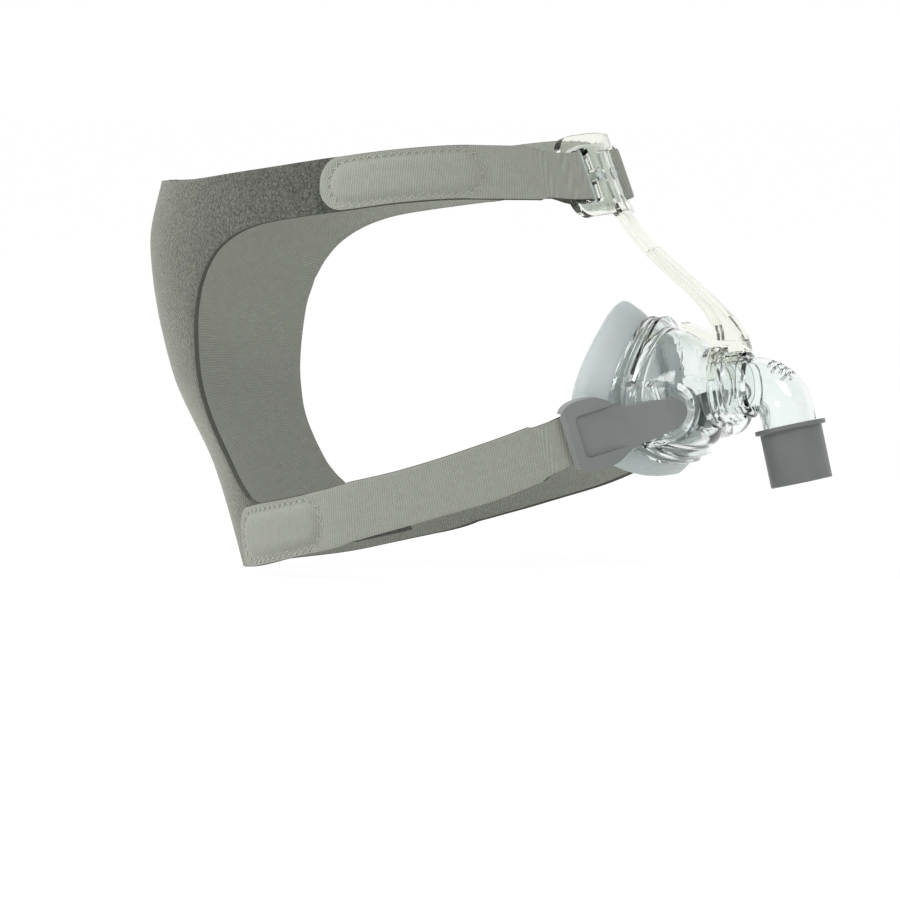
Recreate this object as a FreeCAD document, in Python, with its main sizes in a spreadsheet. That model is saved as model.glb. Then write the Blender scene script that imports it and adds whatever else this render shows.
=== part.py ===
import FreeCAD, Part
import Sketcher
import math
import os

from FreeCAD import Placement, Rotation, Vector

# A nasal mask as it is worn: a clear shell and its silicone cushion over the nose, a clear
# arm up to the brow, an elbow with a swivelling hose cuff, and a fabric headgear with four
# straps. X points forwards, Y to the wearer's left and Z up, in millimetres. The origin is
# the middle of the face seal.

doc = FreeCAD.newDocument("nasal_mask")
sheet = doc.addObject("Spreadsheet::Sheet", "Sizes")

SIZES = (
    ("mask_tilt", 16.0, "lean of the mask axis above level, degrees"),
    ("face_radius", 46.0, "radius that seal, ring and rim bend round the face"),
    ("seal_half_width", 36.0, "cushion, middle to side, at the seal"),
    ("seal_top", 32.5, "cushion, middle to top, at the seal"),
    ("seal_bottom", 31.5, "cushion, middle to bottom, at the seal"),
    ("lip_reach", 16.0, "width of the membrane between the roll and the nose opening"),
    ("cushion_wall", 2.0, "silicone wall"),
    ("cushion_depth", 8.6, "seal face to the back of the retaining ring"),
    ("rim_half_width", 30.0, "ring and rim, middle to side"),
    ("rim_top", 22.5, "ring and rim, middle to top"),
    ("rim_bottom", 27.5, "ring and rim, middle to bottom"),
    ("waist_drop", 4.0, "widest level of an oval below its middle"),
    ("ring_depth", 5.0, "retaining ring, back to front"),
    ("ring_step", 2.4, "length of the ring's wide back band"),
    ("ring_band", 2.2, "wide band, outside the rim line"),
    ("ring_face", 1.0, "narrow band, outside the rim line"),
    ("ring_inside", 3.0, "ring opening, inside the rim line"),
    ("joint_gap", 0.3, "gap between parts that are clipped or plugged together"),
    ("rim_thickness", 1.8, "shell rim, back to front"),
    ("shell_wall", 1.8, "wall of the clear shell"),
    ("dome_half_width", 29.4, "foot of the dome, middle to side"),
    ("dome_top", 19.4, "foot of the dome, middle to top"),
    ("dome_bottom", 26.2, "foot of the dome, middle to bottom"),
    ("dome_bulge", 1.6, "crown of the dome past a straight line"),
    ("port_forward", 26.0, "root of the hose port, forwards"),
    ("port_up", 1.3, "root of the hose port, up"),
    ("port_tilt", 5.0, "hose port above level, degrees"),
    ("bead_radius", 14.6, "bead at the root of the port"),
    ("bead_length", 2.4, "bead at the root of the port, along it"),
    ("groove_radius", 13.0, "groove that takes the arm's saddle"),
    ("groove_length", 3.4, "groove, along the port"),
    ("collar_radius", 14.1, "collar past the groove"),
    ("collar_length", 2.2, "collar, along the port"),
    ("port_radius", 12.4, "front of the port"),
    ("port_length", 12.5, "root to mouth of the port"),
    ("spigot_radius", 10.1, "elbow spigot that turns in the port"),
    ("swivel_play", 0.08, "running clearance of both swivels, on the radius"),
    ("spigot_length", 8.0, "elbow spigot inside the port"),
    ("elbow_flange_radius", 11.8, "flange that covers the port's mouth"),
    ("elbow_flange_length", 1.8, "flange, along the port"),
    ("elbow_radius", 9.8, "elbow tube, outside"),
    ("airway_radius", 8.0, "elbow tube, inside"),
    ("elbow_bend", 11.5, "bend of the elbow's centre line"),
    ("elbow_reach", 25.7, "port root to where the two axes cross"),
    ("cuff_lean", 12.6, "cuff axis forward of straight down, degrees"),
    ("cuff_drop", 15.6, "crossing of the axes to the top of the cuff"),
    ("cuff_length", 21.0, "swivel cuff, top to bottom"),
    ("cuff_radius", 11.2, "22 mm hose connector, outside"),
    ("cuff_flange_radius", 12.8, "cuff flange"),
    ("cuff_flange_length", 1.6, "cuff flange, along the axis"),
    ("socket_radius", 9.0, "elbow's lower spigot, outside"),
    ("socket_depth", 9.0, "elbow's lower spigot inside the cuff"),
    ("snap_bead", 0.35, "height of the snap bead on each spigot"),
    ("snap_length", 1.4, "snap bead, along its spigot"),
    ("vent_radius", 0.5, "vent hole"),
    ("vent_pitch", 2.7, "vent holes, centre to centre"),
    ("vent_angle", 56.0, "middle of the vent field on the bend, degrees above the port"),
    ("pocket_top", 4.7, "upper edge of the clip pocket"),
    ("pocket_bottom", -17.6, "lower edge of the clip pocket"),
    ("pocket_nose", 13.6, "clip pin to the front of the pocket"),
    ("pocket_tail", 12.0, "clip pin to the back of the pocket's upper rail"),
    ("pocket_proud", 3.2, "pocket walls outside the clip pin"),
    ("pocket_depth", 13.0, "pocket walls inside the clip pin"),
    ("pin_radius", 1.4, "clip pin on the shell"),
    ("strap_bar_forward", -9.3, "strap bar of a clip, forwards"),
    ("strap_bar_side", 49.4, "strap bar of a clip, from the middle"),
    ("strap_bar_up", -15.3, "strap bar of a clip, up"),
    ("clip_heading", 30.0, "clip turned in towards the shell, degrees"),
    ("clip_pitch", 17.0, "clip raised above level, degrees"),
    ("clip_length", 33.0, "strap bar to clip pin"),
    ("clip_tip", 9.0, "clip pin to the tip"),
    ("clip_head_height", 25.6, "height of the clip over the strap"),
    ("clip_neck_height", 13.6, "height of the clip's neck"),
    ("clip_tip_height", 10.8, "height of the clip's tip"),
    ("clip_neck_drop", 1.7, "neck below the head's middle"),
    ("clip_cover", 7.2, "outside face of the clip from the strap bar"),
    ("clip_inside", 2.6, "inside face of the clip from the strap bar"),
    ("clip_wall", 1.8, "wall over the strap pocket"),
    ("clip_hood", 3.4, "hood behind the strap bar"),
    ("strap_bar_radius", 1.4, "strap bar of a clip"),
    ("strap_room", 5.6, "strap pocket in front of the strap bar"),
    ("strap_width", 19.0, "each strap"),
    ("fabric", 1.8, "laminated fabric"),
    ("tab_thickness", 1.0, "hook tab between the two layers"),
    ("brow_forward", -14.2, "middle of the brow plate, forwards"),
    ("brow_up", 78.0, "middle of the brow plate, up"),
    ("brow_lean", 20.0, "lean of the brow plate, degrees"),
    ("plate_radius", 80.0, "bend of the brow plate round the forehead"),
    ("plate_half_width", 28.0, "brow plate, middle to end"),
    ("plate_top", 15.4, "brow plate, middle to upper edge"),
    ("plate_bottom", 14.8, "brow plate, middle to lower edge"),
    ("plate_thickness", 2.5, "brow plate"),
    ("bar_width", 7.5, "outer bar that the top strap goes round"),
    ("bar_corner_room", 0.4, "fold's round end, inside the end of the outer bar"),
    ("slot_width", 9.5, "strap slot"),
    ("slot_height", 20.4, "strap slot"),
    ("arm_width", 9.0, "flanges of the arm"),
    ("arm_web", 2.4, "thickness of the arm's web"),
    ("foot_clearance", 0.3, "arm's foot above the port and the elbow's flange"),
    ("saddle_wall", 2.0, "saddle that hugs the port"),
    ("saddle_wrap", 156.0, "angle that the saddle covers"),
    ("pad_half_width", 15.0, "forehead pad, middle to side"),
    ("pad_height", 24.0, "forehead pad, top to bottom"),
    ("pad_thickness", 6.0, "forehead pad"),
    ("stud_radius", 2.2, "stud that holds the forehead pad"),
    ("stud_spacing", 15.2, "studs, centre to centre"),
    ("head_middle", -88.0, "widest place of the head, forwards"),
)


def fill_sheet(rows):
    """Write each size, its name and its note on a row of its own."""
    for number, (alias, value, note) in enumerate(rows, start=1):
        sheet.set("A%d" % number, note)
        sheet.set("B%d" % number, str(value))
        sheet.setAlias("B%d" % number, alias)


def size(alias):
    """Return one driving dimension from the sheet."""
    return float(getattr(sheet, alias))


fill_sheet(SIZES)
doc.recompute()


# Curves and small solids that several parts share

def smooth_loop(points):
    """Return a closed smooth wire through the points."""
    curve = Part.BSplineCurve()
    curve.interpolate(Points=points, PeriodicFlag=True)
    start = curve.FirstParameter
    half = curve.parameter(points[len(points) // 2])
    end = curve.LastParameter
    return Part.Wire([curve.toShape(start, half), curve.toShape(half, end)])


def smooth_edge(points):
    """Return an open smooth edge through the points."""
    curve = Part.BSplineCurve()
    curve.interpolate(Points=points)
    return curve.toShape()


def in_middle(points):
    """Return side-view points as vectors in the middle plane."""
    return [Vector(forward, 0, up) for forward, up in points]


def spline_run(runs):
    """Return the edges of a closed outline: each run of points is one smooth edge."""
    edges = []
    for number, run in enumerate(runs):
        points = in_middle(run)
        follow = in_middle(runs[(number + 1) % len(runs)])
        if len(points) > 1:
            edges.append(smooth_edge(points) if len(points) > 2 else Part.makeLine(*points))
        if points[-1].distanceToPoint(follow[0]) > 1e-6:
            edges.append(Part.makeLine(points[-1], follow[0]))
    return edges


def band_loft(wires, ruled=True):
    """Return the closed tube-like solid that runs through a ring of wires."""
    return Part.makeLoft(wires, True, ruled, True)


def add_piece(name, shape, place=None):
    """Add one finished piece to the document under its own label."""
    piece = doc.addObject("Part::Feature", name)
    piece.Label = name
    piece.Shape = shape
    if place is not None:
        piece.Placement = place
    return piece


def leaned(forward, up, lean):
    """Return the placement of a frame in the middle plane that leans about Y."""
    return Placement(Vector(forward, 0, up), Rotation(Vector(0, 1, 0), -lean))


MASK_PLACE = leaned(0, 0, size("mask_tilt"))
PORT_PLACE = leaned(size("port_forward"), size("port_up"), size("port_tilt"))
BROW_PLACE = leaned(size("brow_forward"), size("brow_up"), size("brow_lean"))

# Shares of the half-width and of the height, from the top of an oval down its side: a
# rounded triangle, narrow over the nose bridge and wide over the upper lip.
OVAL_SHAPE = ((0.52, 0.80), (0.89, 0.36), (1.0, 0.0), (0.83, -0.68), (0.44, -0.96))


def oval_points(half_width, top, bottom):
    """Return the side and height of each point of an oval, once round from the top."""
    waist = (top - bottom) / 2 - size("waist_drop")
    side = []
    for across, along in OVAL_SHAPE:
        reach = (top - waist) if along >= 0 else (bottom + waist)
        side.append((half_width * across, waist + along * reach))
    mirrored = [(-across, level) for across, level in reversed(side)]
    return [(0, top)] + side + [(0, -bottom)] + mirrored


def face_sag(across):
    """Return how far a point beside the middle lies back on the curve of the face."""
    radius = size("face_radius")
    return radius - math.sqrt(radius ** 2 - across ** 2)


def mask_points(half_width, top, bottom, forward):
    """Return an oval bent round the face, in the part's own frame."""
    points = []
    for across, level in oval_points(half_width, top, bottom):
        local = Vector(forward - face_sag(across), across, level)
        points.append(MASK_PLACE.multVec(local))
    return points


def rim_wire(grow, forward):
    """Return an oval beside the rim line, grown outwards by a distance."""
    return smooth_loop(mask_points(
        size("rim_half_width") + grow, size("rim_top") + grow, size("rim_bottom") + grow, forward))


# Cushion: one silicone moulding with a rolled edge and a thin lip round the nose opening

def cushion_wire(crown, grow, forward):
    """Return an oval between the rim (crown 0) and the seal (crown 1)."""
    spans = []
    for end in ("half_width", "top", "bottom"):
        rim = size("rim_" + end)
        seal = size("seal_" + end)
        spans.append(rim + crown * (seal - rim) + grow)
    return smooth_loop(mask_points(spans[0], spans[1], spans[2], forward))


def nasal_cushion():
    wall = size("cushion_wall")
    back = size("cushion_depth")
    front = back + size("ring_depth")
    collar = -size("ring_inside") - size("joint_gap")
    reach = size("lip_reach")
    outside = (
        (0.0, collar, front),
        (0.0, collar, back - size("joint_gap")),
        (0.0, size("ring_face"), back - size("joint_gap")),
        (0.25, size("ring_face"), back - 1.6),
        (0.62, 0.9, back * 0.55),
        (0.95, 0.8, back * 0.22),
        (1.0, -0.7, -0.3),
        (1.0, -3.0, -1.0),
        (1.0, -0.42 * reach, -0.6),
        (1.0, -0.72 * reach, 1.4),
        (1.0, -reach, 4.6),
    )
    inside = (
        (1.0, -reach + 0.5, 5.6),
        (1.0, -0.70 * reach, 2.9),
        (1.0, -0.42 * reach, 0.9),
        (1.0, -wall - 1.6, 0.9),
        (0.95, -wall + 0.2, back * 0.32),
        (0.62, -wall + 0.4, back * 0.66),
        (0.2, -wall + 0.2, back - 0.8),
        (0.0, collar - wall, back + 0.6),
        (0.0, collar - wall, front),
    )
    return band_loft([cushion_wire(*station) for station in outside + inside])


# Retaining ring: a clear stepped band that holds the cushion's collar to the shell

def ring_section(stations):
    """Return a band round the rim line from grow and forward stations."""
    return band_loft([rim_wire(grow, forward) for grow, forward in stations])


def cushion_ring():
    back = size("cushion_depth")
    step = back + size("ring_step")
    front = back + size("ring_depth")
    inner = -size("ring_inside")
    band = ring_section((
        (inner, back),
        (size("ring_band") - 0.5, back),
        (size("ring_band"), back + 0.5),
        (size("ring_band"), step),
        (size("ring_face"), step + 0.4),
        (size("ring_face"), front),
        (inner, front)))
    return band


# Shell: the clear body with its rim, dome, hose port and two clip pockets

def rim_back():
    """Return where the shell's rim starts, in front of the retaining ring."""
    return size("cushion_depth") + size("ring_depth") + size("joint_gap")


def dome_points(share, inset):
    """Return one station of the dome, from its foot (share 0) to the port (share 1)."""
    foot = mask_points(
        size("dome_half_width") - inset,
        size("dome_top") - inset,
        size("dome_bottom") - inset,
        rim_back() + size("rim_thickness"))
    radius = size("bead_radius") - 0.4 - inset
    bulge = math.sin(math.pi * share) * size("dome_bulge")
    points = []
    for number, start in enumerate(foot):
        turn = 2 * math.pi * number / len(foot)
        across = radius * math.sin(turn)
        level = radius * math.cos(turn)
        end = PORT_PLACE.multVec(Vector(-inset * 0.5, across, level))
        shift = Vector(bulge, across * 0.06 * bulge, level * 0.04 * bulge)
        points.append(start + (end - start) * share + shift)
    return points


def dome_solid(inset):
    """Return the filled dome, with a flat oval well behind the face as its start."""
    flat = []
    for across, level in oval_points(
            size("dome_half_width") - inset, size("dome_top") - inset, size("dome_bottom") - inset):
        flat.append(MASK_PLACE.multVec(Vector(-25.0, across, level)))
    stations = [flat] + [dome_points(step / 6, inset) for step in range(7)]
    return Part.makeLoft([smooth_loop(points) for points in stations], True, True)


def face_cylinder(forward):
    """Return the solid behind a surface that bends round the face."""
    radius = size("face_radius")
    solid = Part.makeCylinder(radius, 240, Vector(forward - radius, 0, -120))
    solid.Placement = MASK_PLACE
    return solid


def turned(outline, place):
    """Return the solid that an outline in the XZ plane makes when turned about X."""
    points = [Vector(along, 0, radius) for along, radius in outline]
    face = Part.Face(Part.makePolygon(points + points[:1]))
    solid = face.revolve(Vector(0, 0, 0), Vector(1, 0, 0), 360)
    solid.Placement = place
    return solid


def groove_start():
    return size("bead_length")


def groove_end():
    return size("bead_length") + size("groove_length")


def collar_end():
    return groove_end() + size("collar_length")


def port_tube():
    """Return the hose port with its bead, groove and collar, before its bore."""
    return turned((
        (-2.0, 0),
        (-2.0, size("groove_radius") - 0.6),
        (0, size("bead_radius")),
        (groove_start(), size("bead_radius")),
        (groove_start(), size("groove_radius")),
        (groove_end(), size("groove_radius")),
        (groove_end(), size("collar_radius")),
        (collar_end(), size("collar_radius")),
        (collar_end(), size("port_radius")),
        (size("port_length"), size("port_radius")),
        (size("port_length"), 0)), PORT_PLACE)


def spigot_start():
    """Return where the elbow's spigot ends inside the port."""
    return size("port_length") - size("spigot_length")


def port_bore():
    """Return the port's bore, with a groove for the elbow's snap bead."""
    radius = size("spigot_radius") + size("swivel_play")
    start = spigot_start()
    snap_from = start + 0.4
    snap_to = snap_from + size("snap_length") + 0.8
    return turned((
        (-8.0, 0),
        (-8.0, radius + 1.2),
        (start - 2.2, radius + 1.2),
        (start - 1.0, radius),
        (snap_from, radius),
        (snap_from, radius + size("snap_bead")),
        (snap_to, radius + size("snap_bead")),
        (snap_to, radius),
        (size("port_length") + 1, radius),
        (size("port_length") + 1, 0)), PORT_PLACE)


def clip_frame(side):
    """Return the placement of a clip's frame: strap bar at the origin, clip along X."""
    base = Vector(
        size("strap_bar_forward"), side * size("strap_bar_side"), size("strap_bar_up"))
    turn = Rotation(Vector(0, 0, 1), -side * size("clip_heading"))
    return Placement(base, turn.multiply(Rotation(Vector(0, 1, 0), -size("clip_pitch"))))


def pin_base(side):
    """Return the middle of the clip pin."""
    return clip_frame(side).multVec(Vector(size("clip_length"), 0, 0))


def clip_pin(side):
    """Return a long bar on the pin's axis, parallel to the clip's strap bar."""
    reach = 30.0
    pin = Part.makeCylinder(size("pin_radius"), 2 * reach, Vector(0, 0, -reach))
    pin.Placement = Placement(pin_base(side), clip_frame(side).Rotation)
    return pin


def pocket_profile(inset):
    """Return the outline of the pocket's U, seen from outside, moved in by a distance."""
    top = size("pocket_top") - inset
    bottom = size("pocket_bottom") + inset
    nose = size("pocket_nose") - inset
    middle = (top + bottom) / 2
    tail = -size("pocket_tail") - inset
    upper = smooth_edge([
        Vector(3.5, 0, top), Vector(nose - 2.6, 0, top - 3.2), Vector(nose, 0, middle + 0.5)])
    lower = smooth_edge([
        Vector(nose, 0, middle + 0.5), Vector(nose - 2.6, 0, bottom + 4.6), Vector(1.5, 0, bottom)])
    return Part.Face(Part.Wire([
        Part.makeLine(Vector(tail, 0, top), Vector(3.5, 0, top)),
        upper,
        lower,
        Part.makeLine(Vector(1.5, 0, bottom), Vector(tail, 0, bottom - 3.0)),
        Part.makeLine(Vector(tail, 0, bottom - 3.0), Vector(tail, 0, top))]))


def pocket_plan(side, depth):
    """Return the pocket's shape from above: its rails run in to the rim behind the pin."""
    tail = -size("pocket_tail")
    corners = [
        Vector(-2.6, 0, 0),
        Vector(size("pocket_nose") + 1, 0, 0),
        Vector(size("pocket_nose") + 1, -side * depth, 0),
        Vector(tail - 3, -side * depth, 0),
        Vector(tail - 3, -side * (depth - 4.0), 0),
        Vector(-6.0, -side * 7.4, 0)]
    face = Part.Face(Part.makePolygon(corners + corners[:1]))
    face.translate(Vector(0, 0, -50))
    return face.extrude(Vector(0, 0, 100))


def clip_pocket(side):
    """Return the U-shaped wall and the pin that the clip hooks on."""
    depth = size("pocket_depth") + size("pocket_proud")
    turn = Rotation(Vector(0, 0, 1), -side * size("clip_heading"))
    base = pin_base(side)
    start = turn.multVec(Vector(0, side * size("pocket_proud"), 0))
    place = Placement(Vector(base.x, base.y, 0) + start, turn)
    outer = pocket_profile(0).extrude(Vector(0, -side * depth, 0))
    outer = outer.common(pocket_plan(side, depth))
    inner = pocket_profile(2.0).extrude(Vector(0, -side * depth, 0))
    wall = outer.cut(inner)
    wall.Placement = place
    outer.Placement = place
    return wall.fuse(clip_pin(side).common(outer))


def mask_frame():
    back = rim_back()
    front = back + size("rim_thickness")
    rim = ring_section((
        (-size("ring_inside"), back),
        (size("ring_face") - 0.4, back),
        (size("ring_face"), back + 0.4),
        (size("ring_face") - 0.2, front),
        (-size("ring_inside") - 0.4, front)))
    pockets = clip_pocket(1).fuse(clip_pocket(-1))
    dome = dome_solid(0).fuse(pockets).cut(face_cylinder(back))
    hollow = dome_solid(size("shell_wall")).fuse(port_bore())
    return rim.fuse([dome, port_tube()]).cut(hollow).removeSplitter()


# Elbow: a clear bent tube that turns in the port, with vent holes on its outer bend

def bend_turn():
    """Return the angle of the elbow's bend, from the port's axis to the cuff's."""
    return 90.0 - size("cuff_lean") + size("port_tilt")


def elbow_path(start, past):
    """Return the elbow's centre line in the port's frame, run on by a distance."""
    turn = math.radians(bend_turn())
    bend = size("elbow_bend")
    reach = size("elbow_reach")
    down = Vector(math.cos(turn), 0, -math.sin(turn))
    setback = bend * math.tan(turn / 2)
    first = Vector(reach - setback, 0, 0)
    last = Vector(reach, 0, 0) + down * setback
    half = turn / 2
    middle = Vector(first.x + bend * math.sin(half), 0, bend * (math.cos(half) - 1))
    end = Vector(reach, 0, 0) + down * (size("cuff_drop") + past)
    return Part.Wire([
        Part.makeLine(Vector(start, 0, 0), first),
        Part.Arc(first, middle, last).toShape(),
        Part.makeLine(last, end)])


def elbow_pipe(radius, start, past):
    """Return a round bar along the elbow's centre line."""
    circle = Part.makeCircle(radius, Vector(start, 0, 0), Vector(1, 0, 0))
    pipe = elbow_path(start, past).makePipeShell([Part.Wire(circle)], True, False)
    pipe.Placement = PORT_PLACE
    return pipe


def cuff_place(drop):
    """Return the frame on the cuff's axis, Z up it, at a distance below the crossing."""
    lean = math.radians(size("cuff_lean"))
    crossing = PORT_PLACE.multVec(Vector(size("elbow_reach"), 0, 0))
    base = crossing + Vector(math.sin(lean), 0, -math.cos(lean)) * drop
    return Placement(base, Rotation(Vector(0, 1, 0), -size("cuff_lean")))


def vent_hole(angle, across):
    """Return one drill through the outer wall of the bend, in the port's frame."""
    turn = math.radians(bend_turn())
    bend = size("elbow_bend")
    setback = bend * math.tan(turn / 2)
    centre = Vector(size("elbow_reach") - setback, 0, -bend)
    slope = math.radians(angle)
    out = Vector(math.cos(slope), 0, math.sin(slope))
    start = centre + out * (bend + size("airway_radius") * 0.6) + Vector(0, across, 0)
    return Part.makeCylinder(size("vent_radius"), size("elbow_radius"), start, out)


def vent_field():
    """Return the drills of the vent field: four staggered rows across the bend."""
    outside = size("elbow_bend") + size("elbow_radius")
    step = math.degrees(size("vent_pitch") / outside)
    drills = []
    for row in range(4):
        angle = size("vent_angle") + (row - 1.5) * step
        count = 5 - row % 2
        for number in range(count):
            across = (number - (count - 1) / 2) * size("vent_pitch")
            drills.append(vent_hole(angle, across))
    field = Part.makeCompound(drills)
    field.Placement = PORT_PLACE
    return field


def elbow():
    mouth = size("port_length") + size("joint_gap")
    start = spigot_start() + 0.2
    snap = start + 0.6
    flange = turned((
        (start, 0),
        (start, size("spigot_radius") - 0.4),
        (snap, size("spigot_radius")),
        (snap + 0.1, size("spigot_radius") + size("snap_bead") - 0.1),
        (snap + size("snap_length"), size("spigot_radius") + size("snap_bead") - 0.1),
        (snap + size("snap_length") + 0.2, size("spigot_radius")),
        (mouth, size("spigot_radius")),
        (mouth, size("elbow_flange_radius")),
        (mouth + size("elbow_flange_length"), size("elbow_flange_radius")),
        (mouth + size("elbow_flange_length") + 1.0, size("elbow_radius") + 0.4),
        (mouth + size("elbow_flange_length") + 1.0, 0)), PORT_PLACE)
    tube = elbow_pipe(size("elbow_radius"), mouth, -size("joint_gap"))
    spigot = Part.makeCylinder(
        size("socket_radius"), size("socket_depth") + 3.0, Vector(0, 0, -size("socket_depth")))
    spigot.Placement = cuff_place(size("cuff_drop"))
    body = flange.fuse([tube, spigot])
    bore = elbow_pipe(size("airway_radius"), start - 1.0, size("socket_depth") + 2.0)
    return body.cut([bore, vent_field()])


# Swivel cuff: a turned grey connector that takes the hose

def bound_sketch(body, role, name, corners):
    """Draw a closed outline whose corners are held by expressions of the sheet's sizes."""
    plane = [item for item in body.Origin.OriginFeatures if item.Role == role][0]
    sketch = body.newObject("Sketcher::SketchObject", name)
    sketch.AttachmentSupport = [(plane, "")]
    sketch.MapMode = "FlatFace"
    count = len(corners)
    for number in range(count):
        near = 2 * math.pi * number / count
        far = 2 * math.pi * (number + 1) / count
        sketch.addGeometry(Part.LineSegment(
            Vector(20 + 9 * math.cos(near), 20 + 9 * math.sin(near), 0),
            Vector(20 + 9 * math.cos(far), 20 + 9 * math.sin(far), 0)))
    for number in range(count):
        sketch.addConstraint(Sketcher.Constraint("Coincident", number, 2, (number + 1) % count, 1))
    for number, corner in enumerate(corners):
        for kind, expression in zip(("DistanceX", "DistanceY"), corner):
            label = "%s%d" % (kind[-1], number)
            row = sketch.addConstraint(Sketcher.Constraint(kind, -1, 1, number, 1, 10.0))
            sketch.renameConstraint(row, label)
            sketch.setExpression("Constraints." + label, expression)
    return sketch


def swivel_cuff():
    body = doc.addObject("PartDesign::Body", "swivel_cuff")
    body.Label = "swivel_cuff"
    socket = "Sizes.socket_radius + Sizes.swivel_play"
    length = "Sizes.cuff_length"
    outline = bound_sketch(body, "XZ_Plane", "cuff_outline", (
        ("Sizes.airway_radius", "0"),
        ("Sizes.cuff_radius", "0"),
        ("Sizes.cuff_radius", length + " - Sizes.cuff_flange_length"),
        ("Sizes.cuff_flange_radius", length + " - Sizes.cuff_flange_length"),
        ("Sizes.cuff_flange_radius", length),
        (socket, length),
        (socket, length + " - Sizes.socket_depth - Sizes.joint_gap"),
        ("Sizes.airway_radius", length + " - Sizes.socket_depth - Sizes.joint_gap")))
    doc.recompute()
    turn = body.newObject("PartDesign::Revolution", "cuff_turned")
    turn.Profile = outline
    turn.ReferenceAxis = (outline, ["V_Axis"])
    turn.Angle = 360.0
    body.Placement = cuff_place(size("cuff_drop") + size("cuff_length"))
    return body


# Headgear clips: grey hooks that hold the lower straps and snap over the shell's pins

def clip_plan():
    """Return the clip's thickness seen from above, as a solid taller than the clip."""
    cover = -size("clip_cover")
    inside = size("clip_inside")
    pin = size("clip_length")
    tip = pin + size("clip_tip")
    neck = cover + 2.0
    corners = [
        Vector(-size("clip_hood"), cover + 1.4, 0),
        Vector(-size("clip_hood") + 1.6, cover, 0),
        Vector(12.5, cover, 0),
        Vector(20.0, neck, 0),
        Vector(pin + 1.5, neck + 0.4, 0),
        Vector(tip, neck + 3.2, 0),
        Vector(tip, inside - 1.2, 0),
        Vector(pin + 4.0, inside, 0),
        Vector(-size("clip_hood"), inside, 0)]
    face = Part.Face(Part.makePolygon(corners + corners[:1]))
    height = size("clip_head_height") + 4
    face.translate(Vector(0, 0, -height / 2))
    return face.extrude(Vector(0, 0, height))


def clip_outline():
    """Return the clip's outline seen from outside: a tall head, a neck and a blunt tip."""
    head = size("clip_head_height") / 2
    neck = size("clip_neck_height") / 2
    tip = size("clip_tip_height") / 2
    drop = -size("clip_neck_drop")
    pin = size("clip_length")
    end = pin + size("clip_tip")
    rear = -size("clip_hood")
    upper = smooth_edge([
        Vector(rear, 0, head - 4.0), Vector(rear + 2.6, 0, head - 0.9), Vector(7.0, 0, head),
        Vector(13.2, 0, head - 1.9), Vector(18.2, 0, neck + drop + 1.6),
        Vector(24.5, 0, neck + drop + 0.1), Vector(pin + 2.0, 0, tip + drop)])
    lower = smooth_edge([
        Vector(pin + 2.0, 0, drop - tip), Vector(24.5, 0, drop - neck - 0.1),
        Vector(17.6, 0, drop - neck - 1.4), Vector(12.4, 0, -head + 0.6), Vector(6.0, 0, -head),
        Vector(rear + 2.6, 0, -head + 1.4), Vector(rear, 0, -head + 5.0)])
    nose = smooth_edge([
        Vector(pin + 2.0, 0, tip + drop), Vector(end - 1.6, 0, tip * 0.62 + drop),
        Vector(end, 0, drop), Vector(end - 1.6, 0, drop - tip * 0.62),
        Vector(pin + 2.0, 0, drop - tip)])
    back = Part.makeLine(Vector(rear, 0, -head + 5.0), Vector(rear, 0, head - 4.0))
    face = Part.Face(Part.Wire([upper, nose, lower, back]))
    face.translate(Vector(0, size("clip_inside") + 2, 0))
    return face.extrude(Vector(0, -size("clip_cover") - size("clip_inside") - 4, 0))


def clip_solid():
    """Return one clip in its own frame, outside face towards -Y."""
    inside = size("clip_inside")
    body = clip_plan().common(clip_outline())
    room = size("strap_width") / 2 + 0.5
    roof = size("clip_cover") - size("clip_wall")
    low_roof = size("strap_bar_radius") + size("fabric") + 1.0
    hood = Part.makeBox(
        size("clip_hood") + 1.4, roof + inside + 1, 2 * room,
        Vector(-size("clip_hood") - 1, -roof, -room))
    front = Part.makeBox(
        size("strap_room") + 0.1, low_roof + inside + 1, 2 * room, Vector(0, -low_roof, -room))
    bar = Part.makeCylinder(size("strap_bar_radius"), 2 * room + 1, Vector(0, 0, -room - 0.5))
    recess = Part.makeBox(17.0, 3.0, 15.6, Vector(1.4, -3.0, -7.8))
    recess = recess.makeFillet(2.0, [edge for edge in recess.Edges if edge.Length < 3.01])
    recess.Placement = Placement(
        Vector(0, -low_roof - size("clip_wall") + 0.2, 0), Rotation(Vector(0, 0, 1), 0))
    seat = size("pin_radius") + 0.25
    pin = size("clip_length")
    hook = Part.makeCylinder(seat, 30, Vector(pin, 0, -15))
    mouth = Part.makeBox(2 * seat + 0.6, inside + 2, 30, Vector(pin - seat - 0.6, 0, -15))
    body = body.cut([hood, front, recess, hook, mouth])
    return body.fuse(bar).removeSplitter()


def both_sides(name, shape, place):
    """Add a right-hand piece and its mirror image."""
    right = shape.copy()
    right.Placement = place
    left = right.mirror(Vector(0, 0, 0), Vector(0, 1, 0))
    add_piece("right_" + name, right)
    add_piece("left_" + name, left)


# Forehead arm: a clear moulded bar of I section, with a brow plate on top and a saddle
# that clips round the port

ARM_FRONT = ((-16.2, 86.2), (-11.7, 73.0), (-3.6, 59.4), (11.8, 44.9), (29.1, 30.1),
             (36.9, 21.2), (39.3, 14.6))
ARM_BACK = ((-12.4, 66.0), (-6.0, 57.5), (5.6, 45.1), (22.9, 29.6), (26.9, 23.4))
ARM_HEEL = ((26.6, 20.6), (15.0, 24.6), (15.2, 22.9), (25.6, 17.9))
ARM_POCKET = (
    ((3.2, 50.8), (11.0, 44.0), (28.3, 29.2), (35.9, 20.5), (36.6, 18.2)),
    ((29.0, 18.4), (27.9, 24.0), (23.8, 30.4), (6.4, 46.0), (2.2, 50.2)),
)


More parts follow.
